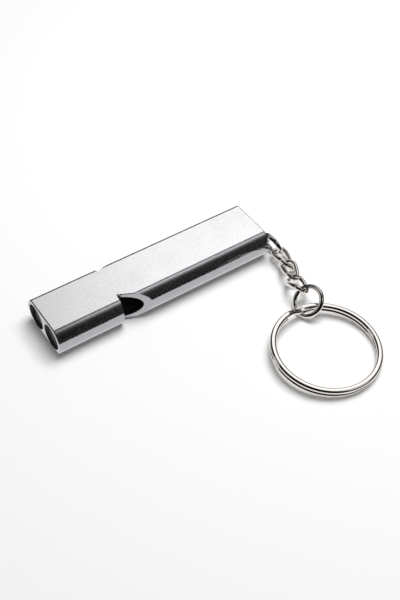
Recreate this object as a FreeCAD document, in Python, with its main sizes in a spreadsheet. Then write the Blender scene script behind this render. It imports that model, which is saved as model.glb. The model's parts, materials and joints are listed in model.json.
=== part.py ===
import FreeCAD
import Part
import Sketcher
import math
import os
from FreeCAD import Placement, Rotation, Vector

# Pea-less whistle with two tubes, lying flat, with a short curb chain and a split key ring.
# The origin is the centre of the flat underside. +X runs from the mouth to the tail, +Z is up.

doc = FreeCAD.newDocument("whistle")

# Driving dimensions, mm and degrees
sizes = {
    "length": 60.0,
    "thickness": 8.0,
    "sideRadius": 4.6,
    "sideOffset": 3.29,
    "boreRadius": 3.3,
    "borePitch": 7.46,
    "edgeRadius": 0.3,
    "endChamfer": 0.25,
    "windowStart": 17.2,
    "windowInner": 17.8,
    "windowInset": 4.44,
    "windowReach": 9.0,
    "windowTilt": 7.5,
    "rampAngle": 25.0,
    "plugGap": 0.02,
    "windwayStart": 0.8,
    "windwayLength": 16.3,
    "windwayFlat": 2.2,
    "endPlugDepth": 3.0,
    "endPlugLength": 2.8,
    "eyeOut": 1.29,
    "eyeY": -4.24,
    "eyeZ": 3.65,
    "eyeHoleRadius": 0.86,
    "eyeRadius": 1.5,
    "eyeThickness": 1.0,
    "wireSides": 10,
    "tailRingRadius": 3.118,
    "tailRingWire": 0.58,
    "smallRingRadius": 3.708,
    "smallRingWire": 0.6,
    "linkWire": 0.55,
    "linkHalfLength": 3.85,
    "linkSquareness": 0.2,
    "linkHalfWidth": 1.95,
    "linkTwist": -0.6,
    "keyRingOuter": 13.29,
    "keyRingInner": 11.8,
    "keyRingTurn": 1.08,
    "keyRingPitch": 1.14,
    "keyRingEdge": 0.35,
    "keyRingEndAngle": 78.0,
    "keyRingCross": 22.0,
}
sheet = doc.addObject("Spreadsheet::Sheet", "Sizes")
for row, (alias, value) in enumerate(sizes.items(), 1):
    sheet.set(f"A{row}", alias)
    sheet.set(f"B{row}", str(value))
    sheet.setAlias(f"B{row}", alias)
doc.recompute()

# Rest pose of each chain piece: position in mm, then turn axis and angle in degrees.
# Positions along X are counted from the tail end.
tail = sizes["length"] / 2
poses = {
    "chain_link_1": ((tail + 2.103, -11.557, 1.819), (-0.18764, 0.25129, -0.94955), 100.635),
    "chain_link_2": ((tail + 0.770, -15.858, 2.012), (-0.18075, 0.14973, -0.97206), 118.238),
    "chain_link_3": ((tail - 1.386, -21.421, 3.160), (-0.23498, -0.01259, -0.97192), 109.237),
}
# Centre and axis direction of each ring
rings = {
    "tail_ring": ((tail + 1.494, -7.349, 3.646), (0.96831, 0.06409, 0.24138)),
    "small_ring": ((tail - 2.641, -27.195, 3.075), (-0.66645, 0.02184, 0.74523)),
    "key_ring": ((tail - 7.582, -40.560, 3.171), (0.04375, -0.06019, 0.99723)),
}
parts = {}


def newBody(name):
    body = doc.addObject("PartDesign::Body", name)
    body.Label = name
    parts[name] = body
    return body


def originPlane(body, role):
    return next(item for item in body.Origin.OriginFeatures if item.Role == role)


def newSketch(body, role, name, along=None):
    sketch = body.newObject("Sketcher::SketchObject", name)
    sketch.AttachmentSupport = [(originPlane(body, role), "")]
    sketch.MapMode = "FlatFace"
    if along is not None:
        sketch.setExpression(".AttachmentOffset.Base.z", along)
    return sketch


def bind(sketch, name, constraint, expression):
    index = sketch.addConstraint(constraint)
    sketch.renameConstraint(index, name)
    sketch.setExpression("Constraints." + name, expression)


def segment(start, end):
    return Part.LineSegment(Vector(*start, 0), Vector(*end, 0))


def circleArc(centre, radius, first, last):
    circle = Part.Circle(Vector(*centre, 0), Vector(0, 0, 1), radius)
    return Part.ArcOfCircle(circle, first, last)


Limit = Sketcher.Constraint

# Whistle body: flat top and underside, rounded sides, two bores along it
body = newBody("whistle_body")
section = newSketch(body, "YZ_Plane", "tube_section", "-Sizes.length / 2")
half = sizes["thickness"] / 2
offset = sizes["sideOffset"]
radius = sizes["sideRadius"]
swing = math.asin(half / radius)
corner = offset + radius * math.cos(swing)
section.addGeometry(segment((-corner, 2 * half), (corner, 2 * half)), False)
section.addGeometry(circleArc((offset, half), radius, -swing, swing), False)
section.addGeometry(segment((corner, 0), (-corner, 0)), False)
section.addGeometry(circleArc((-offset, half), radius, math.pi - swing, math.pi + swing), False)
for side in (1, -1):
    centre = Vector(side * sizes["borePitch"] / 2, half, 0)
    section.addGeometry(Part.Circle(centre, Vector(0, 0, 1), sizes["boreRadius"]), False)
for limit in (
    Limit("Coincident", 0, 2, 1, 2),
    Limit("Coincident", 1, 1, 2, 1),
    Limit("Coincident", 2, 2, 3, 2),
    Limit("Coincident", 3, 1, 0, 1),
    Limit("Horizontal", 0),
    Limit("PointOnObject", 2, 1, -1),
    Limit("PointOnObject", 2, 2, -1),
    Limit("Equal", 1, 3),
    Limit("Symmetric", 1, 3, 3, 3, -2),
    Limit("Equal", 4, 5),
    Limit("Symmetric", 4, 3, 5, 3, -2),
):
    section.addConstraint(limit)
bind(section, "thickness", Limit("DistanceY", -1, 1, 0, 2, 2 * half), "Sizes.thickness")
bind(section, "sideRadius", Limit("Radius", 1, radius), "Sizes.sideRadius")
bind(section, "sideOffset", Limit("DistanceX", -1, 1, 1, 3, offset), "Sizes.sideOffset")
bind(section, "boreRadius", Limit("Radius", 4, sizes["boreRadius"]), "Sizes.boreRadius")
bind(section, "boreAcross", Limit("DistanceX", -1, 1, 4, 3, sizes["borePitch"] / 2), "Sizes.borePitch / 2")
bind(section, "boreHeight", Limit("DistanceY", -1, 1, 4, 3, half), "Sizes.thickness / 2")
tubes = body.newObject("PartDesign::Pad", "tubes")
tubes.Profile = section
tubes.setExpression("Length", "Sizes.length")
doc.recompute()

# Rim of each end face has a small chamfer
rimEdges = []
for number, edge in enumerate(tubes.Shape.Edges, 1):
    box = edge.BoundBox
    atEnd = box.XLength < 1e-6 and abs(abs(box.Center.x) - sizes["length"] / 2) < 1e-6
    isBore = edge.Curve.TypeId == "Part::GeomCircle" and abs(edge.Curve.Radius - sizes["boreRadius"]) < 1e-6
    if atEnd and not isBore:
        rimEdges.append(f"Edge{number}")
rims = body.newObject("PartDesign::Chamfer", "end_rims")
rims.Base = (tubes, rimEdges)
rims.setExpression("Size", "Sizes.endChamfer")
doc.recompute()

# Long corners, where the flats meet the sides, are slightly rounded
longEdges = []
for number, edge in enumerate(rims.Shape.Edges, 1):
    box = edge.BoundBox
    if box.XLength > 0.8 * sizes["length"] and abs(box.Center.y) > 5:
        longEdges.append(f"Edge{number}")
rounded = body.newObject("PartDesign::Fillet", "long_edges")
rounded.Base = (rims, longEdges)
rounded.setExpression("Radius", "Sizes.edgeRadius")
doc.recompute()

# Sound window in each side: a steep step, then a ramp that rises towards the tail
# Both are cut square to one plan that is tilted about the length, so each is deeper at one flat.
window = newSketch(body, "XY_Plane", "window_plan")
window.AttachmentOffset = Placement(Vector(), Rotation(Vector(1, 0, 0), -sizes["windowTilt"]))
window.setExpression(".AttachmentOffset.Base.y", "-Sizes.windowReach * sin(Sizes.windowTilt * 1 deg)")
window.setExpression(".AttachmentOffset.Base.z",
                     "Sizes.thickness / 2 - Sizes.windowReach * cos(Sizes.windowTilt * 1 deg)")
mouth = -sizes["length"] / 2
reach = sizes["windowReach"]
inset = sizes["windowInset"]
rampEnd = sizes["windowInner"] + (reach - inset) / math.tan(math.radians(sizes["rampAngle"]))
for index, side in enumerate((-1, 1)):
    inner = (mouth + sizes["windowInner"], side * inset)
    outer = (mouth + sizes["windowStart"], side * reach)
    end = (mouth + rampEnd, side * reach)
    first = 3 * index
    window.addGeometry([segment(inner, outer), segment(outer, end), segment(end, inner)], False)
    for step in range(3):
        window.addConstraint(Limit("Coincident", first + step, 2, first + (step + 1) % 3, 1))
    window.addConstraint(Limit("Horizontal", first + 1))
    tag = "Front" if side < 0 else "Back"
    bind(window, "inner" + tag, Limit("DistanceX", -1, 1, first, 1, inner[0]), "Sizes.windowInner - Sizes.length / 2")
    bind(window, "inset" + tag, Limit("DistanceY", -1, 1, first, 1, inner[1]), f"{side} * Sizes.windowInset")
    bind(window, "start" + tag, Limit("DistanceX", -1, 1, first, 2, outer[0]), "Sizes.windowStart - Sizes.length / 2")
    bind(window, "reach" + tag, Limit("DistanceY", -1, 1, first, 2, outer[1]), f"{side} * Sizes.windowReach")
    bind(window, "ramp" + tag, Limit("DistanceX", -1, 1, first + 1, 2, end[0]),
         "Sizes.windowInner + (Sizes.windowReach - Sizes.windowInset) / tan(Sizes.rampAngle * 1 deg) - Sizes.length / 2")
windows = body.newObject("PartDesign::Pocket", "windows")
windows.Profile = window
windows.Type = "ThroughAll"
windows.Reversed = True
doc.recompute()

# Windway plugs: D-shaped, with the air slot along the outer side of each bore
flat = sizes["windwayFlat"]
plugRadius = sizes["boreRadius"] - sizes["plugGap"]
turn = math.acos(flat / plugRadius)
across = plugRadius * math.sin(turn)
for name, side in (("front_windway_plug", -1), ("back_windway_plug", 1)):
    plug = newBody(name)
    plug.setExpression(".Placement.Base.y", f"{side} * Sizes.borePitch / 2")
    plug.setExpression(".Placement.Base.z", "Sizes.thickness / 2")
    outline = newSketch(plug, "YZ_Plane", name + "_section", "Sizes.windwayStart - Sizes.length / 2")
    if side > 0:
        outline.addGeometry(circleArc((0, 0), plugRadius, turn, 2 * math.pi - turn), False)
    else:
        outline.addGeometry(circleArc((0, 0), plugRadius, math.pi + turn, 3 * math.pi - turn), False)
    ends = ((side * flat, across), (side * flat, -across))
    arcStart, arcEnd = ends if side > 0 else ends[::-1]
    outline.addGeometry(segment(arcEnd, arcStart), False)
    outline.addConstraint(Limit("Coincident", 0, 2, 1, 1))
    outline.addConstraint(Limit("Coincident", 1, 2, 0, 1))
    outline.addConstraint(Limit("Coincident", 0, 3, -1, 1))
    outline.addConstraint(Limit("Vertical", 1))
    bind(outline, "plugRadius", Limit("Radius", 0, plugRadius), "Sizes.boreRadius - Sizes.plugGap")
    bind(outline, "flat", Limit("DistanceX", -1, 1, 1, 1, side * flat), f"{side} * Sizes.windwayFlat")
    pad = plug.newObject("PartDesign::Pad", name + "_pad")
    pad.Profile = outline
    pad.setExpression("Length", "Sizes.windwayLength")

# End plugs close the tubes at the tail. The front one carries the eye for the chain.
for name, side in (("front_end_plug", -1), ("back_end_plug", 1)):
    plug = newBody(name)
    plug.setExpression(".Placement.Base.y", f"{side} * Sizes.borePitch / 2")
    plug.setExpression(".Placement.Base.z", "Sizes.thickness / 2")
    outline = newSketch(plug, "YZ_Plane", name + "_section", "Sizes.length / 2 - Sizes.endPlugDepth")
    outline.addGeometry(Part.Circle(Vector(0, 0, 0), Vector(0, 0, 1), plugRadius), False)
    outline.addConstraint(Limit("Coincident", 0, 3, -1, 1))
    bind(outline, "plugRadius", Limit("Radius", 0, plugRadius), "Sizes.boreRadius - Sizes.plugGap")
    pad = plug.newObject("PartDesign::Pad", name + "_pad")
    pad.Profile = outline
    pad.setExpression("Length", "Sizes.endPlugLength")
doc.recompute()

plug = parts["front_end_plug"]
eyePlan = newSketch(plug, "XY_Plane", "eye_plan", "Sizes.eyeZ - Sizes.thickness / 2 - Sizes.eyeThickness / 2")
eyeY = sizes["eyeY"] + sizes["borePitch"] / 2
eyeX = tail + sizes["eyeOut"]
eyeR = sizes["eyeRadius"]
rootX = tail - sizes["endPlugDepth"] + 0.5
eyePlan.addGeometry(circleArc((eyeX, eyeY), eyeR, -math.pi / 2, math.pi / 2), False)
eyePlan.addGeometry(segment((eyeX, eyeY + eyeR), (rootX, eyeY + eyeR)), False)
eyePlan.addGeometry(segment((rootX, eyeY + eyeR), (rootX, eyeY - eyeR)), False)
eyePlan.addGeometry(segment((rootX, eyeY - eyeR), (eyeX, eyeY - eyeR)), False)
eyePlan.addGeometry(Part.Circle(Vector(eyeX, eyeY, 0), Vector(0, 0, 1), sizes["eyeHoleRadius"]), False)
for limit in (
    Limit("Tangent", 0, 2, 1, 1),
    Limit("Coincident", 1, 2, 2, 1),
    Limit("Coincident", 2, 2, 3, 1),
    Limit("Tangent", 3, 2, 0, 1),
    Limit("Horizontal", 1),
    Limit("Vertical", 2),
    Limit("Coincident", 4, 3, 0, 3),
):
    eyePlan.addConstraint(limit)
bind(eyePlan, "eyeRadius", Limit("Radius", 0, eyeR), "Sizes.eyeRadius")
bind(eyePlan, "eyeHole", Limit("Radius", 4, sizes["eyeHoleRadius"]), "Sizes.eyeHoleRadius")
bind(eyePlan, "eyeX", Limit("DistanceX", -1, 1, 0, 3, eyeX), "Sizes.length / 2 + Sizes.eyeOut")
bind(eyePlan, "eyeY", Limit("DistanceY", -1, 1, 0, 3, eyeY), "Sizes.eyeY + Sizes.borePitch / 2")
bind(eyePlan, "root", Limit("DistanceX", -1, 1, 2, 1, rootX), "Sizes.length / 2 - Sizes.endPlugDepth + 0.5")
eye = plug.newObject("PartDesign::Pad", "eye")
eye.Profile = eyePlan
eye.setExpression("Length", "Sizes.eyeThickness")
doc.recompute()

# Wire rings: a jump ring in the eye, and the one that carries the key ring
for name, wire in (("tail_ring", "tailRing"), ("small_ring", "smallRing")):
    outline = doc.addObject("Part::RegularPolygon", name + "_section")
    outline.Polygon = sizes["wireSides"]
    outline.setExpression("Circumradius", f"Sizes.{wire}Wire")
    outline.setExpression(".Placement.Base.x", f"Sizes.{wire}Radius")
    outline.Placement.Rotation = Rotation(Vector(1, 0, 0), 90)
    ring = doc.addObject("Part::Revolution", name)
    ring.Label = name
    ring.Source = outline
    ring.Axis = Vector(0, 0, 1)
    ring.Angle = 360
    ring.Solid = True
    centre, axis = rings[name]
    ring.Placement = Placement(Vector(*centre), Rotation(Vector(0, 0, 1), Vector(*axis)))
    parts[name] = ring
doc.recompute()


# Curb chain links: an oval of round wire, twisted so that neighbours cross at right angles.
# With t round the link: x = a cos t - e cos 3t, y = b sin t, z = c sin 2t.
def linkPoint(t):
    x = sizes["linkHalfLength"] * math.cos(t) - sizes["linkSquareness"] * math.cos(3 * t)
    return Vector(x, sizes["linkHalfWidth"] * math.sin(t), sizes["linkTwist"] * math.sin(2 * t))


def wireSection(centre, heading, wireRadius):
    across = Vector(0, 0, 1).cross(heading).normalize()
    upward = heading.cross(across)
    corners = []
    for step in range(sizes["wireSides"]):
        angle = 2 * math.pi * step / sizes["wireSides"]
        corners.append(centre + across * (wireRadius * math.cos(angle)) + upward * (wireRadius * math.sin(angle)))
    return Part.makePolygon(corners + corners[:1])


turns = [2 * math.pi * step / 32 for step in range(32)]
linkCurve = Part.BSplineCurve()
linkCurve.interpolate(Points=[linkPoint(t) for t in turns], PeriodicFlag=True)
first = linkCurve.FirstParameter
last = linkCurve.LastParameter
halves = []
for begin, end in ((first, (first + last) / 2), ((first + last) / 2, last)):
    linkSection = wireSection(linkCurve.value(begin), linkCurve.tangent(begin)[0], sizes["linkWire"])
    halves.append(Part.Wire(linkCurve.toShape(begin, end)).makePipeShell([linkSection], True, True))
linkSolid = halves[0].fuse(halves[1]).Solids[0]
for name, (centre, axis, angle) in poses.items():
    link = doc.addObject("Part::Feature", name)
    link.Label = name
    link.Shape = linkSolid
    link.Placement = Placement(Vector(*centre), Rotation(Vector(*axis), angle))
    parts[name] = link

# Split key ring: flat wire in two turns. Its top turn starts at the end angle and runs
# clockwise; after almost a full turn it drops to the lower level and goes round once more.
middle = (sizes["keyRingOuter"] + sizes["keyRingInner"]) / 2
breadth = sizes["keyRingOuter"] - sizes["keyRingInner"]
drop = sizes["keyRingPitch"]
top = -sizes["keyRingTurn"] / 2
begin = sizes["keyRingEndAngle"]
cross = sizes["keyRingCross"]


def ringPoint(angle, level):
    turned = math.radians(angle)
    return Vector(middle * math.cos(turned), middle * math.sin(turned), level)


def levelArc(first, last, level):
    points = [ringPoint(first + (last - first) * part, level) for part in (0, 0.5, 1)]
    return Part.Arc(*points).toShape()


firstDrop = begin - 360 + cross
crossPoints = []
for step in range(13):
    part = step / 12
    eased = part * part * (3 - 2 * part)
    crossPoints.append(ringPoint(firstDrop - cross * part, top - drop * eased))
crossCurve = Part.BSplineCurve()
headings = [Vector(math.sin(math.radians(a)), -math.cos(math.radians(a)), 0) for a in (firstDrop, firstDrop - cross)]
crossCurve.interpolate(Points=crossPoints, InitialTangent=headings[0], FinalTangent=headings[1])
path = Part.Wire([
    levelArc(begin, begin - 170, top),
    levelArc(begin - 170, firstDrop, top),
    crossCurve.toShape(),
    levelArc(firstDrop - cross, firstDrop - cross - 169, top - drop),
    levelArc(firstDrop - cross - 169, firstDrop - 360 + 0.5, top - drop),
])
radial = Vector(math.cos(math.radians(begin)), math.sin(math.radians(begin)), 0)
lift = Vector(0, 0, sizes["keyRingTurn"] / 2)
outward = radial * (breadth / 2)
middlePoint = ringPoint(begin, top)
corners = [middlePoint + outward + lift, middlePoint - outward + lift, middlePoint - outward - lift,
           middlePoint + outward - lift]
sheetSection = Part.Face(Part.makePolygon(corners + corners[:1]))
tangent = Vector(math.sin(math.radians(begin)), -math.cos(math.radians(begin)), 0)
block = sheetSection.extrude(tangent)
softened = block.makeChamfer(sizes["keyRingEdge"], [e for e in block.Edges if abs(e.tangentAt(0).dot(tangent)) > 0.99])
facing = [f for f in softened.Faces if abs((f.CenterOfMass - middlePoint).dot(tangent)) < 1e-6]
sweep = Part.BRepOffsetAPI.MakePipeShell(path)
sweep.setBiNormalMode(Vector(0, 0, 1))
sweep.add(facing[0].OuterWire)
sweep.build()
sweep.makeSolid()
ring = doc.addObject("Part::Feature", "key_ring")
ring.Label = "key_ring"
ring.Shape = sweep.shape()
centre, axis = rings["key_ring"]
ring.Placement = Placement(Vector(*centre), Rotation(Vector(0, 0, 1), Vector(*axis)))
parts["key_ring"] = ring
doc.recompute()

for item in doc.Objects:
    if "Invalid" in item.State or "Error" in item.State:
        raise RuntimeError(f"{item.Label}: {item.State}")
os.makedirs("parts", exist_ok=True)
for name, item in parts.items():
    shape = item.Shape
    if shape.isNull() or not shape.isValid() or len(shape.Solids) != 1:
        raise RuntimeError(f"{name} is not one valid solid")
    shape.exportStep(f"parts/{name}.step")
    print(name, round(shape.Volume, 2), "mm3", [round(v, 2) for v in (shape.BoundBox.XMin, shape.BoundBox.XMax,
          shape.BoundBox.YMin, shape.BoundBox.YMax, shape.BoundBox.ZMin, shape.BoundBox.ZMax)])
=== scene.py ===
import json
import math
import bmesh
import bpy
import numpy as np
from mathutils import Matrix, Vector

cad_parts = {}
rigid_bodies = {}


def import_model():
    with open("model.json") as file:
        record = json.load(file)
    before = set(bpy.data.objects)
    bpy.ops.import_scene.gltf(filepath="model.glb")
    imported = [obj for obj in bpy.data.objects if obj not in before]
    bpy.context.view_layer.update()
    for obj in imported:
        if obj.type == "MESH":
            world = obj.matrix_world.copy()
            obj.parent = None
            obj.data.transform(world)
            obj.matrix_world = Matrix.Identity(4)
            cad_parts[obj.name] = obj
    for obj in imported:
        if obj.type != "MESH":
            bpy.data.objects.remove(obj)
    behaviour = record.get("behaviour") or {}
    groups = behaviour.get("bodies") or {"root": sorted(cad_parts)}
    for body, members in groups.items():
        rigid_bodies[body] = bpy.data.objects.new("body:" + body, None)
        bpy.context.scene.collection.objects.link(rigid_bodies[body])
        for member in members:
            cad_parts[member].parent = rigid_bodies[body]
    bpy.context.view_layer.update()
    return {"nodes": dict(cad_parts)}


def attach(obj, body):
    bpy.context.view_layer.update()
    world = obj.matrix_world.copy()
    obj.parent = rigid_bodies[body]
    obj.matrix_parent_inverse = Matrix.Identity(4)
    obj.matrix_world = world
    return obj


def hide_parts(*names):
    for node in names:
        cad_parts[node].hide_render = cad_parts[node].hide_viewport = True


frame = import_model()
mm = 0.001
print("frame loaded:", ", ".join(sorted(frame["nodes"])))


# Small helpers
# A grid of points becomes quads: each point joins its neighbours in the next row and column. The columns
# close on themselves, and the rows only where wrapRows says so.
def gridFaces(rows, cols, wrapRows=True):
    i, j = np.meshgrid(np.arange(rows - (not wrapRows)), np.arange(cols), indexing="ij")
    i, j = i.ravel(), j.ravel()
    nextRow, nextCol = (i + 1) % rows, (j + 1) % cols
    return np.stack([i * cols + j, nextRow * cols + j, nextRow * cols + nextCol, i * cols + nextCol], 1)


# Points in mm go into a mesh in metres; extra faces close its ends. Edges bent past the angle given as
# sharp stay crisp.
def newPiece(name, points, faces, materials, extraFaces=(), sharp=None):
    mesh = bpy.data.meshes.new(name)
    corners = (np.asarray(points).reshape(-1, 3) * mm).tolist()
    mesh.from_pydata(corners, [], np.asarray(faces).tolist() + list(extraFaces))
    for material in materials:
        mesh.materials.append(material)
    piece = bpy.data.objects.new(name, mesh)
    bpy.context.scene.collection.objects.link(piece)
    smoothPiece(piece, sharp)
    return piece


def smoothPiece(piece, sharp=None):
    mesh = piece.data
    work = bmesh.new()
    work.from_mesh(mesh)
    bmesh.ops.recalc_face_normals(work, faces=work.faces)
    work.to_mesh(mesh)
    work.free()
    mesh.shade_smooth()
    if sharp:
        mesh.set_sharp_from_angle(angle=math.radians(sharp))


def unit(vectors):
    return vectors / np.linalg.norm(vectors, axis=-1, keepdims=True)


# Rotation that takes +Z to the given axis
def turnTo(axis):
    return np.array(Vector((0, 0, 1)).rotation_difference(Vector(axis)).to_matrix())


def newMaterial(name, **values):
    material = bpy.data.materials.new(name)
    material.use_nodes = True
    shader = material.node_tree.nodes["Principled BSDF"]
    for socket, value in values.items():
        shader.inputs[socket.replace("_", " ")].default_value = value
    return material, material.node_tree, shader


def addNode(tree, kind, **values):
    node = tree.nodes.new("ShaderNode" + kind)
    for key, value in values.items():
        setattr(node, key, value)
    return node


# A ramp over a value; each stop is a place and a grey level or a colour
def ramp(tree, source, stops):
    stops = list(stops)
    node = addNode(tree, "ValToRGB")
    elements = node.color_ramp.elements
    while len(elements) < len(stops):
        elements.new(0.5)
    for element, (place, level) in zip(elements, stops):
        element.position = place
        element.color = (level, level, level, 1) if np.isscalar(level) else (*level, 1)
    tree.links.new(source, node.inputs["Fac"])
    return node.outputs["Color"]


# A noise's low and high stretches, given as places on its ramp
spread = (0.3, 0.7)


# A colour between two shares of a tint, as the noise goes from low to high
def tinted(tree, source, look):
    colors = [tuple(np.minimum(np.array(look["color"]) * share, 1)) for share in look["shares"]]
    return ramp(tree, source, zip(spread, colors))


# Object position, stretched by a scale for each axis
def objectPlace(tree, scale=(1, 1, 1)):
    place = addNode(tree, "TexCoord").outputs["Object"]
    mapping = addNode(tree, "Mapping")
    mapping.inputs["Scale"].default_value = scale
    tree.links.new(place, mapping.inputs["Vector"])
    return mapping.outputs["Vector"]


def noise(tree, place, scale, detail, rough):
    node = addNode(tree, "TexNoise")
    node.inputs["Scale"].default_value = scale
    node.inputs["Detail"].default_value = detail
    node.inputs["Roughness"].default_value = rough
    tree.links.new(place, node.inputs["Vector"])
    return node.outputs["Fac"]


def bump(tree, shader, height, distance, strength):
    node = addNode(tree, "Bump")
    node.inputs["Distance"].default_value = distance
    node.inputs["Strength"].default_value = strength
    tree.links.new(height, node.inputs["Height"])
    tree.links.new(node.outputs["Normal"], shader.inputs["Normal"])


# Materials. A noise is its scale per metre, detail and roughness; shares are of the colour; rough is the
# range of roughness; bump is a distance in metres and a strength.
finishes = {
    "satin": {
        "color": (0.88, 0.88, 0.895), "shares": (0.84, 1.12), "grain": (3400, 2, 0.7), "cloud": (160, 3, 0.5),
        "metallic": 0.6, "rough": (0.22, 0.28), "bump": (0.00002, 0.6),
    },
    "polished": {
        "color": (0.455, 0.455, 0.475), "shares": (0.93, 1.04), "streak": (2600, 3, 0.6),
        "stretch": (0.45, 1, 1), "haze": (2000, 3, 0.7), "metallic": [(0.45, 1.0), (0.68, 0.94)],
        "rough": (0.04, 0.08), "bump": (0.00003, 0.5),
    },
    "bore": {
        "color": (0.20, 0.20, 0.21), "shares": (0.7, 1.3), "lines": (2500, 3, 0.6), "stretch": (0.08, 1, 1),
        "metallic": 0.9, "rough": 0.6, "bump": (0.00002, 0.6),
    },
    "plug": {
        "color": (0.105, 0.107, 0.114), "shares": (0.7, 1.4), "mottle": (1800, 4, 0.6), "rough": 0.62,
        "bump": (0.00003, 0.5),
    },
    "nickel": {
        "color": (0.84, 0.80, 0.765), "shares": (0.92, 1.05), "marks": (2600, 3, 0.6), "rough": (0.02, 0.05),
        "bump": (0.000004, 0.5),
    },
}


# Blasted and anodised flats: a fine grain in colour and height, slow clouds in roughness, and part matt
def satinAluminium():
    look = finishes["satin"]
    material, tree, shader = newMaterial("satinAluminium", Metallic=look["metallic"])
    grain = noise(tree, objectPlace(tree), *look["grain"])
    cloud = noise(tree, objectPlace(tree), *look["cloud"])
    tree.links.new(tinted(tree, grain, look), shader.inputs["Base Color"])
    tree.links.new(ramp(tree, cloud, zip(spread, look["rough"])), shader.inputs["Roughness"])
    bump(tree, shader, grain, *look["bump"])
    return material


# Polished sides: faint drawing lines along the tubes, and specks of haze that aren't mirrors
def polishedAluminium():
    look = finishes["polished"]
    material, tree, shader = newMaterial("polishedAluminium", Metallic=1.0)
    streaks = noise(tree, objectPlace(tree, look["stretch"]), *look["streak"])
    haze = noise(tree, objectPlace(tree), *look["haze"])
    tree.links.new(tinted(tree, streaks, look), shader.inputs["Base Color"])
    tree.links.new(ramp(tree, streaks, zip(spread, look["rough"])), shader.inputs["Roughness"])
    tree.links.new(ramp(tree, haze, look["metallic"]), shader.inputs["Metallic"])
    bump(tree, shader, streaks, *look["bump"])
    return material


# Bores keep the dull drawn surface of the tube
def boreAluminium():
    look = finishes["bore"]
    material, tree, shader = newMaterial("boreAluminium", Metallic=look["metallic"], Roughness=look["rough"])
    lines = noise(tree, objectPlace(tree, look["stretch"]), *look["lines"])
    tree.links.new(tinted(tree, lines, look), shader.inputs["Base Color"])
    bump(tree, shader, lines, *look["bump"])
    return material


# Moulded plugs, dark and matt with a fine mottle
def darkPlug():
    look = finishes["plug"]
    material, tree, shader = newMaterial("darkPlug", Roughness=look["rough"])
    mottle = noise(tree, objectPlace(tree), *look["mottle"])
    tree.links.new(tinted(tree, mottle, look), shader.inputs["Base Color"])
    bump(tree, shader, mottle, *look["bump"])
    return material


# Bright nickel plate with small marks from handling
def nickelPlate():
    look = finishes["nickel"]
    material, tree, shader = newMaterial("nickelPlate", Metallic=1.0)
    marks = noise(tree, objectPlace(tree), *look["marks"])
    tree.links.new(tinted(tree, marks, look), shader.inputs["Base Color"])
    tree.links.new(ramp(tree, marks, zip(spread, look["rough"])), shader.inputs["Roughness"])
    bump(tree, shader, marks, *look["bump"])
    return material


satin = satinAluminium()
polished = polishedAluminium()
boreMetal = boreAluminium()
plugDark = darkPlug()
nickel = nickelPlate()
print("materials ready")

# Whistle body, in mm and degrees. Window places are counted from the mouth along X and from the middle
# plane along Y. A face counts as flat, as a window's cut or as a bore's wall within the last four values.
body = {
    "length": 60.0, "thickness": 8.0, "sideRadius": 4.6, "sideOffset": 3.29, "cornerRadius": 0.3,
    "rimRadius": 0.25, "sideSteps": 72, "cornerSteps": 6, "rimSteps": 5, "stations": 59,
    "boreRadius": 3.3, "borePitch": 7.46, "boreSteps": 96, "boreOverrun": 1.0,
    "windowStart": 17.2, "windowInner": 17.8, "windowInset": 4.44, "windowReach": 9.0, "windowTilt": 7.5,
    "rampAngle": 25.0, "windowEdge": 0.14, "edgeToolHeight": 3,
    "flatLean": 0.9999, "cutLean": 0.2, "wallLean": 0.05, "boreSlack": 0.01,
}


# Outline of the section, anticlockwise seen from the tail: a small corner arc, the big side arc, a small
# corner arc, and the same again mirrored, with the flats between. Each row is (y, z) and has its outward
# normal.
def bodyOutline():
    half = body["thickness"] / 2
    small = body["cornerRadius"]
    reach = body["sideRadius"] - small
    swing = math.asin((half - small) / reach)
    cornerY = body["sideOffset"] + reach * math.cos(swing)
    big = np.linspace(-swing, swing, body["sideSteps"] + 1)
    corner = np.linspace(swing, math.pi / 2, body["cornerSteps"] + 1)
    points, normals = [], []
    for centre, radius, angles in (
        ((cornerY, small), small, -corner[::-1]),
        ((body["sideOffset"], half), body["sideRadius"], big[1:-1]),
        ((cornerY, 2 * half - small), small, corner),
    ):
        direction = np.stack([np.cos(angles), np.sin(angles)], 1)
        points.append(np.array(centre) + radius * direction)
        normals.append(direction)
    points, normals = np.concatenate(points), np.concatenate(normals)
    mirror = np.array([-1, 1])
    return np.concatenate([points, points[::-1] * mirror]), np.concatenate([normals, normals[::-1] * mirror])


# The outline is carried along X. Near each end it shrinks along its normals round a quarter circle.
def bodyBlank():
    outline, normals = bodyOutline()
    rim = body["rimRadius"]
    quarter = np.linspace(0, math.pi / 2, body["rimSteps"] + 1)
    inset = rim * (1 - np.sin(quarter))
    along = body["length"] / 2 - rim * (1 - np.cos(quarter))
    between = np.linspace(-along[-1], along[-1], body["stations"] + 2)[1:-1]
    stations = np.concatenate([-along, between, along[::-1]])
    shrink = np.concatenate([inset, np.zeros_like(between), inset[::-1]])
    section = outline[None] - shrink[:, None, None] * normals[None]
    points = np.concatenate([np.broadcast_to(stations[:, None, None], section.shape[:2] + (1,)), section], 2)
    rows, cols = points.shape[:2]
    caps = [list(range(cols))[::-1], [(rows - 1) * cols + k for k in range(cols)]]
    faces = gridFaces(rows, cols, wrapRows=False)
    return newPiece("whistleBody", points, faces, [polished, satin, boreMetal], caps)


# Bore tool: a cylinder round the bore's axis
def boreTool(side):
    steps = body["boreSteps"]
    angle = np.linspace(0, 2 * math.pi, steps + 1)[:-1]
    ends = np.array([-1, 1]) * (body["length"] / 2 + body["boreOverrun"])
    y = side * body["borePitch"] / 2 + body["boreRadius"] * np.cos(angle)
    z = body["thickness"] / 2 + body["boreRadius"] * np.sin(angle)
    points = np.stack([np.stack([np.full_like(y, x), y, z], 1) for x in ends])
    caps = [list(range(steps))[::-1], list(range(steps, 2 * steps))]
    return newPiece("boreTool", points, gridFaces(2, steps, wrapRows=False), [boreMetal], caps)


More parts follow.
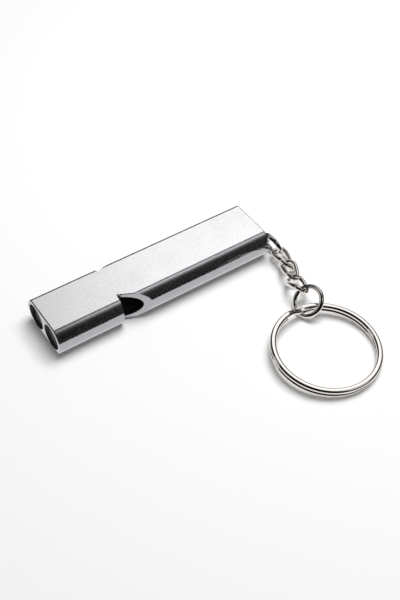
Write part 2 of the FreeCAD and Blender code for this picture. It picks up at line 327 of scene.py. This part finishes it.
# Plan (x, y) of a window: inner corner, top of the steep step, and end of the long ramp
def windowPlan(side):
    mouth = -body["length"] / 2
    reach, inset = body["windowReach"], body["windowInset"]
    inner = mouth + body["windowInner"]
    rampEnd = inner + (reach - inset) / math.tan(math.radians(body["rampAngle"]))
    return np.array([
        (inner, side * inset), (mouth + body["windowStart"], side * reach), (rampEnd, side * reach),
    ])


# The plan turned about the length by the tilt. Heights are from the middle of the section, along the
# turned plan's own normal, and the result is in the frame's axes.
def tiltedPlan(plan, heights):
    points = np.concatenate([plan, np.asarray(heights)[:, None]], 1)
    tilt = math.radians(body["windowTilt"])
    turn = np.array([[1, 0, 0], [0, math.cos(tilt), math.sin(tilt)], [0, -math.sin(tilt), math.cos(tilt)]])
    return points @ turn.T + np.array([0, 0, body["thickness"] / 2])


wedgeSides = [(0, 1, 4, 3), (1, 2, 5, 4), (2, 0, 3, 5)]
wedgeEnds = [(0, 2, 1), (3, 4, 5)]


# Window tool: a wedge through both flats
def windowTool(side):
    plan = windowPlan(side)
    ends = [tiltedPlan(plan, [level] * 3) for level in (-body["windowReach"], body["windowReach"])]
    return newPiece("windowTool", np.concatenate(ends), wedgeSides, [polished], wedgeEnds)


# Edge tool: the wedge's outline on a flat, a little below that flat, and the same outline grown as much
# as it rises. Growing moves each corner away from both of its sides.
def windowEdgeTool(side, flat):
    level = body["thickness"] / 2 * flat
    width = body["windowEdge"]
    tilt = math.radians(body["windowTilt"])
    plan = windowPlan(side)
    height = (level + plan[:, 1] * math.sin(tilt)) / math.cos(tilt)
    onFlat = tiltedPlan(plan, height)[:, :2]
    edge = np.roll(onFlat, -1, 0) - onFlat
    outward = unit(np.stack([edge[:, 1], -edge[:, 0]], 1))
    outward *= np.sign(((onFlat - onFlat.mean(0)) * outward).sum(1).sum())
    corners = []
    for k in range(3):
        pair = np.array([outward[k - 1], outward[k]])
        corners.append(onFlat[k] + np.linalg.solve(pair, np.ones(2)))
    grow = np.array(corners) - onFlat
    rows = []
    for step in (0, body["edgeToolHeight"]):
        z = body["thickness"] / 2 + level + flat * (step - 1) * width
        rows.append(np.insert(onFlat + grow * step * width, 2, z, axis=1))
    return newPiece("windowEdgeTool", np.concatenate(rows), wedgeSides, [polished], wedgeEnds)


def carve(piece, tools):
    for tool in tools:
        cut = piece.modifiers.new("cut", "BOOLEAN")
        cut.operation = "DIFFERENCE"
        cut.solver = "MANIFOLD"
        cut.object = tool
    bpy.context.view_layer.update()
    graph = bpy.context.evaluated_depsgraph_get()
    carved = bpy.data.meshes.new_from_object(piece.evaluated_get(graph))
    piece.modifiers.clear()
    piece.data = carved
    for tool in tools:
        bpy.data.objects.remove(tool)


# Faces take their finish from where they are: flats are satin, bore walls dull, the rest polished.
def paintBody(piece):
    mesh = piece.data
    count = len(mesh.polygons)
    centre, normal = np.zeros(count * 3), np.zeros(count * 3)
    mesh.polygons.foreach_get("center", centre)
    mesh.polygons.foreach_get("normal", normal)
    centre, normal = centre.reshape(-1, 3) / mm, normal.reshape(-1, 3)
    fromBore = np.hypot(np.abs(centre[:, 1]) - body["borePitch"] / 2, centre[:, 2] - body["thickness"] / 2)
    slot = np.zeros(count, int)
    slot[np.abs(normal[:, 2]) > body["flatLean"]] = 1
    isWall = np.abs(normal[:, 0]) < body["wallLean"]
    slot[isWall & (fromBore < body["boreRadius"] + body["boreSlack"])] = 2
    mesh.materials.clear()
    for material in (polished, satin, boreMetal):
        mesh.materials.append(material)
    mesh.polygons.foreach_set("material_index", slot.astype(np.int32))


# Normals follow the true surfaces. Flat faces keep their own: those along X or Z and the windows' cuts.
# On the rest, a bore's normal points to its axis, and the outside's points away from the centre of its
# arc, leaning towards the end face round the rim, by the share of the rim radius that is passed.
def shadeBody(piece):
    mesh = piece.data
    count, loops = len(mesh.polygons), len(mesh.loops)
    normal, centre, sizes = np.zeros(count * 3), np.zeros(count * 3), np.zeros(count, int)
    mesh.polygons.foreach_get("normal", normal)
    mesh.polygons.foreach_get("center", centre)
    mesh.polygons.foreach_get("loop_total", sizes)
    normal, centre = normal.reshape(-1, 3), centre.reshape(-1, 3) / mm
    lean = np.abs(normal)
    isCut = (lean[:, 0] > body["cutLean"]) & (np.abs(centre[:, 0]) < body["length"] / 3)
    isFlat = (lean[:, [0, 2]] > body["flatLean"]).any(1) | isCut
    half = body["thickness"] / 2
    boreY = body["borePitch"] / 2
    fromBore = np.hypot(np.abs(centre[:, 1]) - boreY, centre[:, 2] - half)
    isBore = fromBore < body["boreRadius"] + body["boreSlack"]
    vertex, index = np.zeros(len(mesh.vertices) * 3), np.zeros(loops, int)
    mesh.vertices.foreach_get("co", vertex)
    mesh.loops.foreach_get("vertex_index", index)
    place = vertex.reshape(-1, 3)[index] / mm
    side = np.sign(np.repeat(centre[:, 1], sizes))
    isFlat, isBore = np.repeat(isFlat, sizes), np.repeat(isBore, sizes)
    small = body["cornerRadius"]
    swing = math.asin((half - small) / (body["sideRadius"] - small))
    high = place[:, 2] - half
    isCorner = np.abs(high) > body["sideRadius"] * math.sin(swing)
    cornerY = body["sideOffset"] + (body["sideRadius"] - small) * math.cos(swing)
    centreY = side * np.where(isBore, boreY, np.where(isCorner, cornerY, body["sideOffset"]))
    centreZ = np.where(isCorner & ~isBore, np.sign(high) * (half - small), 0)
    radial = np.stack([np.zeros(loops), place[:, 1] - centreY, high - centreZ], 1)
    radial = unit(radial) * np.where(isBore, -1, 1)[:, None]
    past = (np.abs(place[:, 0]) - body["length"] / 2 + body["rimRadius"]) / body["rimRadius"]
    past = np.where(isBore, 0, np.clip(past, 0, 1))
    radial *= np.sqrt(1 - past**2)[:, None]
    radial[:, 0] = past * np.sign(place[:, 0])
    shading = np.where(isFlat[:, None], np.repeat(normal, sizes, axis=0), radial)
    mesh.shade_smooth()
    mesh.normals_split_custom_set(shading.tolist())


whistleBody = bodyBlank()
edgeTools = [windowEdgeTool(side, flat) for side in (1, -1) for flat in (1, -1)]
carve(whistleBody, [boreTool(1), boreTool(-1), windowTool(1), windowTool(-1)] + edgeTools)
paintBody(whistleBody)
shadeBody(whistleBody)
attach(whistleBody, "whistle")
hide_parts("whistle_body")
print("whistle body:", len(whistleBody.data.polygons), "faces")


# Carried-over nodes get their finish
def dressNode(node, material):
    piece = frame["nodes"][node]
    piece.data.materials.clear()
    piece.data.materials.append(material)


for node in ("front_windway_plug", "back_windway_plug"):
    dressNode(node, plugDark)
for node in ("front_end_plug", "back_end_plug"):
    dressNode(node, polished)
print("plugs dressed")

# Wire rings and chain links, in mm, with each link's pose as centre, axis and angle
wires = {
    "tail_ring": {
        "radius": 3.118, "wire": 0.58, "centre": (31.494, -7.349, 3.646),
        "axis": (0.96831, 0.06409, 0.24138),
    },
    "small_ring": {
        "radius": 3.708, "wire": 0.60, "centre": (27.359, -27.195, 3.075),
        "axis": (-0.66645, 0.02184, 0.74523),
    },
}
wireSteps = {"ring": 144, "link": 160, "around": 32}
links = {
    "halfLength": 3.85, "squareness": 0.2, "halfWidth": 1.95, "twist": -0.6, "wire": 0.55,
    "poses": {
        "chain_link_1": ((32.103, -11.557, 1.819), (-0.18764, 0.25129, -0.94955), 100.635),
        "chain_link_2": ((30.770, -15.858, 2.012), (-0.18075, 0.14973, -0.97206), 118.238),
        "chain_link_3": ((28.614, -21.421, 3.160), (-0.23498, -0.01259, -0.97192), 109.237),
    },
}


# Round wire on a closed path: at each path point a circle of the wire's radius stands square to the path.
# Its first direction is the path point's own direction from the loop's middle, freed of the tangent.
def closedWire(name, path, wireRadius):
    tangent = unit(np.roll(path, -1, 0) - np.roll(path, 1, 0))
    outward = path - path.mean(0)
    outward = unit(outward - (outward * tangent).sum(1, keepdims=True) * tangent)
    upward = np.cross(tangent, outward)
    angle = np.linspace(0, 2 * math.pi, wireSteps["around"] + 1)[:-1]
    points = path[:, None] + wireRadius * (
        np.cos(angle)[None, :, None] * outward[:, None] + np.sin(angle)[None, :, None] * upward[:, None]
    )
    return newPiece(name, points, gridFaces(len(path), wireSteps["around"]), [nickel])


for node, wire in wires.items():
    turn = np.linspace(0, 2 * math.pi, wireSteps["ring"] + 1)[:-1]
    circle = wire["radius"] * np.stack([np.cos(turn), np.sin(turn), np.zeros_like(turn)], 1)
    path = circle @ turnTo(wire["axis"]).T + np.array(wire["centre"])
    piece = closedWire(node.replace("_r", "R"), path, wire["wire"])
    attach(piece, node)
    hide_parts(node)

# Links: with t round the link, x = a cos t - e cos 3t, y = b sin t, z = c sin 2t, then the link's own pose.
# Here a is halfLength, e squareness, b halfWidth and c twist.
for node, (centre, axis, angle) in links["poses"].items():
    t = np.linspace(0, 2 * math.pi, wireSteps["link"] + 1)[:-1]
    shape = np.stack([
        links["halfLength"] * np.cos(t) - links["squareness"] * np.cos(3 * t),
        links["halfWidth"] * np.sin(t),
        links["twist"] * np.sin(2 * t),
    ], 1)
    turn = np.array(Matrix.Rotation(math.radians(angle), 3, Vector(axis)))
    piece = closedWire("chainLink" + node[-1], shape @ turn.T + np.array(centre), links["wire"])
    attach(piece, node)
    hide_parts(node)
print("rings and chain links done")

# Split key ring, in mm and degrees: turn is the height of one turn and pitch is from turn to turn.
keyRing = {
    "outer": 13.29, "inner": 11.8, "turn": 1.08, "pitch": 1.14, "edge": 0.53, "endAngle": 78.0, "cross": 22.0,
    "endGap": 0.5, "sharp": 40, "centre": (22.418, -40.560, 3.171), "axis": (0.04375, -0.06019, 0.99723),
    "steps": 720, "edgeSteps": 6,
}


# Flat wire in two turns. The angle runs clockwise from the end; the level is constant, falls along a
# smooth step s*s*(3 - 2s) over the crossing, and is constant again. The section is a rounded rectangle.
def splitRing():
    middle = (keyRing["outer"] + keyRing["inner"]) / 2
    breadth, height, edge = keyRing["outer"] - keyRing["inner"], keyRing["turn"], keyRing["edge"]
    begin, cross = keyRing["endAngle"], keyRing["cross"]
    firstDrop = begin - 360 + cross
    finish = firstDrop - 360 + keyRing["endGap"]
    degrees = np.linspace(begin, finish, keyRing["steps"])
    part = np.clip((firstDrop - degrees) / cross, 0, 1)
    level = -height / 2 - keyRing["pitch"] * part * part * (3 - 2 * part)
    angle = np.radians(degrees)
    outward = np.stack([np.cos(angle), np.sin(angle), np.zeros_like(angle)], 1)
    path = outward * middle
    path[:, 2] = level
    tangent = unit(np.gradient(path, axis=0))
    upward = unit(np.cross(outward, tangent))
    upward *= np.sign(upward[:, 2:3])
    corner = np.linspace(0, math.pi / 2, keyRing["edgeSteps"] + 1)
    quarters = []
    for k, (sideways, up) in enumerate(((1, 1), (-1, 1), (-1, -1), (1, -1))):
        centre = np.array([sideways * (breadth / 2 - edge), up * (height / 2 - edge)])
        swing = corner + k * math.pi / 2
        quarters.append(centre + edge * np.stack([np.cos(swing), np.sin(swing)], 1))
    section = np.concatenate(quarters)
    points = path[:, None] + section[None, :, :1] * outward[:, None] + section[None, :, 1:] * upward[:, None]
    points = points @ turnTo(keyRing["axis"]).T + np.array(keyRing["centre"])
    rows, cols = points.shape[:2]
    caps = [list(range(cols)), [(rows - 1) * cols + k for k in range(cols)][::-1]]
    faces = gridFaces(rows, cols, wrapRows=False)
    return newPiece("keyRing", points, faces, [nickel], caps, sharp=keyRing["sharp"])


# It isn't mirrored in the whistle's side, where the photograph shows hardly a trace of it.
ringPiece = splitRing()
ringPiece.visible_glossy = False
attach(ringPiece, "key_ring")
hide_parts("key_ring")
print("key ring done")

# Floor, light and camera. Lengths are in metres. paperLift goes over the distance from the middle of the
# floor. The paper as metal sees it is a ramp of painted light over the length of the mirrored ray as a share
# of fullReach: painted contact shade in the first mm, a painted pool of light out to about 15 mm, and dark
# beyond. along goes over how far a direction points along X. across goes over how far the rest of it points
# along Y, from 0 at the front horizon through 0.5 at the zenith to 1 at the back horizon.
studio = {
    "skyLevel": 0.18, "keyWatts": 2.12, "keySize": 0.30, "keyAway": 0.45, "keySide": (0.28, 0.06, 0.95),
    "panelSide": (-0.70, 0.57, 0.42), "panelSize": 0.14, "panelWatts": 0.08,
    "floorHalf": 1.5, "paper": 0.90, "fullReach": 0.020,
    "paperLift": [(0.0, 0.05), (0.14, 0.05), (0.40, 0.60), (1.0, 0.90)],
    # Painted light for metal: painted contact shade close in, a painted pool of light, then dark.
    "paintedPaperInMetal": [(0.0, 0.10), (0.04, 0.25), (0.085, 0.93), (0.75, 0.93), (0.78, 0.03), (1.0, 0.03)],
    "across": [
        (0.0, 0.03), (0.05, 0.035), (0.085, 0.06), (0.117, 0.10), (0.153, 0.30), (0.192, 0.78), (0.228, 1.08),
        (0.265, 1.0), (0.297, 0.14), (0.42, 0.14), (0.55, 0.9), (0.65, 1.28), (0.815, 1.28),
        (0.883, 0.9), (0.933, 0.35), (1.0, 0.12),
    ],
    "along": [
        (0.0, 0.02), (0.14, 0.04), (0.22, 0.30), (0.25, 0.52), (0.28, 0.80), (0.33, 0.95), (0.36, 1.0),
        (0.62, 1.0), (0.72, 0.15), (1.0, 0.05),
    ],
}


# The second output is 1 for what metal mirrors, and 0 for the camera's own rays and for light on its way
# to matt surfaces, which has a diffuse depth of 1 or more.
def rayKinds(tree):
    rays = addNode(tree, "LightPath")
    beforeMatt = addNode(tree, "Math", operation="LESS_THAN")
    beforeMatt.inputs[1].default_value = 0.5
    tree.links.new(rays.outputs["Diffuse Depth"], beforeMatt.inputs[0])
    mirror = addNode(tree, "Math", operation="MULTIPLY")
    tree.links.new(rays.outputs["Is Glossy Ray"], mirror.inputs[0])
    tree.links.new(beforeMatt.outputs[0], mirror.inputs[1])
    return rays, mirror.outputs[0]


# White paper, lifted to white for the camera away from the middle. Metal sees not the lit paper but a glow of
# painted light: a painted contact shadow within about a mm, then bright close by and dark from further off,
# as a painted small pool of light.
def newFloor():
    size = studio["floorHalf"]
    corners = [(-size, -size, 0), (size, -size, 0), (size, size, 0), (-size, size, 0)]
    mesh = bpy.data.meshes.new("floor")
    mesh.from_pydata(corners, [], [(0, 1, 2, 3)])
    floor = bpy.data.objects.new("floor", mesh)
    bpy.context.scene.collection.objects.link(floor)
    material, tree, shader = newMaterial("floorPaper")
    output = tree.nodes["Material Output"]
    tree.nodes.remove(shader)
    rays, mirror = rayKinds(tree)
    paper = addNode(tree, "BsdfDiffuse")
    paper.inputs["Color"].default_value = (*(studio["paper"],) * 3, 1)
    lifted = addNode(tree, "Math", operation="MULTIPLY")
    tree.links.new(rays.outputs["Is Camera Ray"], lifted.inputs[0])
    fromMiddle = addNode(tree, "VectorMath", operation="LENGTH")
    tree.links.new(objectPlace(tree), fromMiddle.inputs[0])
    tree.links.new(ramp(tree, fromMiddle.outputs["Value"], studio["paperLift"]), lifted.inputs[1])
    lift = addNode(tree, "Emission")
    tree.links.new(lifted.outputs[0], lift.inputs["Strength"])
    sheet = addNode(tree, "AddShader")
    tree.links.new(paper.outputs[0], sheet.inputs[0])
    tree.links.new(lift.outputs[0], sheet.inputs[1])
    away = addNode(tree, "Math", operation="MULTIPLY")
    away.inputs[1].default_value = 1 / studio["fullReach"]
    tree.links.new(rays.outputs["Ray Length"], away.inputs[0])
    # Painted light: the paper's glow for metal, with painted contact shade close in and a painted pool of
    # light.
    mirrored = addNode(tree, "Emission")
    tree.links.new(ramp(tree, away.outputs[0], studio["paintedPaperInMetal"]), mirrored.inputs["Strength"])
    mix = addNode(tree, "MixShader")
    tree.links.new(mirror, mix.inputs[0])
    tree.links.new(sheet.outputs[0], mix.inputs[1])
    tree.links.new(mirrored.outputs[0], mix.inputs[2])
    tree.links.new(mix.outputs[0], output.inputs["Surface"])
    mesh.materials.append(material)


# Sky: the camera sees white, matt surfaces an even grey. Metal sees long soft boxes that lie along the
# whistle: one ramp goes over them from front to back, and another dims them towards the mouth end.
def newWorld():
    world = bpy.data.worlds.new("studio")
    bpy.context.scene.world = world
    world.use_nodes = True
    tree = world.node_tree
    back = tree.nodes["Background"]
    rays, mirror = rayKinds(tree)
    direction = addNode(tree, "TexCoord").outputs["Generated"]
    split = addNode(tree, "SeparateXYZ")
    tree.links.new(direction, split.inputs[0])
    flatten = addNode(tree, "VectorMath", operation="MULTIPLY")
    flatten.inputs[1].default_value = (0, 1, 1)
    tree.links.new(direction, flatten.inputs[0])
    upright = addNode(tree, "VectorMath", operation="NORMALIZE")
    tree.links.new(flatten.outputs[0], upright.inputs[0])
    turned = addNode(tree, "SeparateXYZ")
    tree.links.new(upright.outputs[0], turned.inputs[0])
    place = addNode(tree, "MapRange")
    place.inputs["From Min"].default_value = -1
    tree.links.new(turned.outputs["Y"], place.inputs["Value"])
    boxes = ramp(tree, place.outputs[0], studio["across"])
    dimmer = ramp(tree, split.outputs["X"], studio["along"])
    glow = addNode(tree, "VectorMath", operation="MULTIPLY")
    tree.links.new(boxes, glow.inputs[0])
    tree.links.new(dimmer, glow.inputs[1])
    level = addNode(tree, "MixRGB")
    tree.links.new(mirror, level.inputs["Fac"])
    level.inputs["Color1"].default_value = (*(studio["skyLevel"],) * 3, 1)
    tree.links.new(glow.outputs[0], level.inputs["Color2"])
    seen = addNode(tree, "MixRGB")
    tree.links.new(rays.outputs["Is Camera Ray"], seen.inputs["Fac"])
    tree.links.new(level.outputs[0], seen.inputs["Color1"])
    seen.inputs["Color2"].default_value = (1, 1, 1, 1)
    tree.links.new(seen.outputs[0], back.inputs["Color"])


# The key light is for matt surfaces, and the small panel at the back left only for mirrors.
def newLight(name, side, size, watts):
    light = bpy.data.lights.new(name, "AREA")
    light.shape = "SQUARE"
    light.size = size
    light.energy = watts
    lamp = bpy.data.objects.new(name, light)
    direction = Vector(side).normalized()
    turned = direction.to_track_quat("Z", "Y").to_matrix().to_4x4()
    lamp.matrix_world = Matrix.Translation(direction * studio["keyAway"]) @ turned
    bpy.context.scene.collection.objects.link(lamp)
    return lamp


def newLights():
    keyLight = newLight("keyLight", studio["keySide"], studio["keySize"], studio["keyWatts"])
    keyLight.visible_glossy = False
    panel = newLight("panel", studio["panelSide"], studio["panelSize"], studio["panelWatts"])
    panel.visible_diffuse = False
    panel.visible_camera = False


# Camera: place in mm, viewing direction by azimuth and elevation, and a small roll, all in degrees. The
# focal length is in pixels of an image with this many rows. The sensor is in mm, and clipStart in metres.
camera = {
    "place": (-81.947, -138.838, 173.420), "azimuth": 34.764, "elevation": 47.906, "roll": 1.001,
    "focalPixels": 948.552, "rows": 600, "sensor": 36, "clipStart": 0.001,
}


def newCamera():
    azimuth, elevation, roll = (math.radians(camera[k]) for k in ("azimuth", "elevation", "roll"))
    level = math.cos(elevation)
    back = Vector((-math.sin(azimuth) * level, -math.cos(azimuth) * level, math.sin(elevation)))
    right = Vector((0, 0, 1)).cross(back).normalized()
    up = back.cross(right)
    rolledRight = right * math.cos(roll) + up * math.sin(roll)
    rolledUp = up * math.cos(roll) - right * math.sin(roll)
    data = bpy.data.cameras.new("photoCamera")
    data.sensor_fit = "VERTICAL"
    data.sensor_height = camera["sensor"]
    data.lens = camera["focalPixels"] * camera["sensor"] / camera["rows"]
    data.clip_start = camera["clipStart"]
    view = bpy.data.objects.new("photoCamera", data)
    turned = Matrix((rolledRight, rolledUp, back)).transposed().to_4x4()
    view.matrix_world = Matrix.Translation(Vector(camera["place"]) * mm) @ turned
    bpy.context.scene.collection.objects.link(view)
    bpy.context.scene.camera = view


newFloor()
newWorld()
newLights()
newCamera()
bpy.context.scene.view_settings.view_transform = "Standard"
print("floor, light and camera ready")
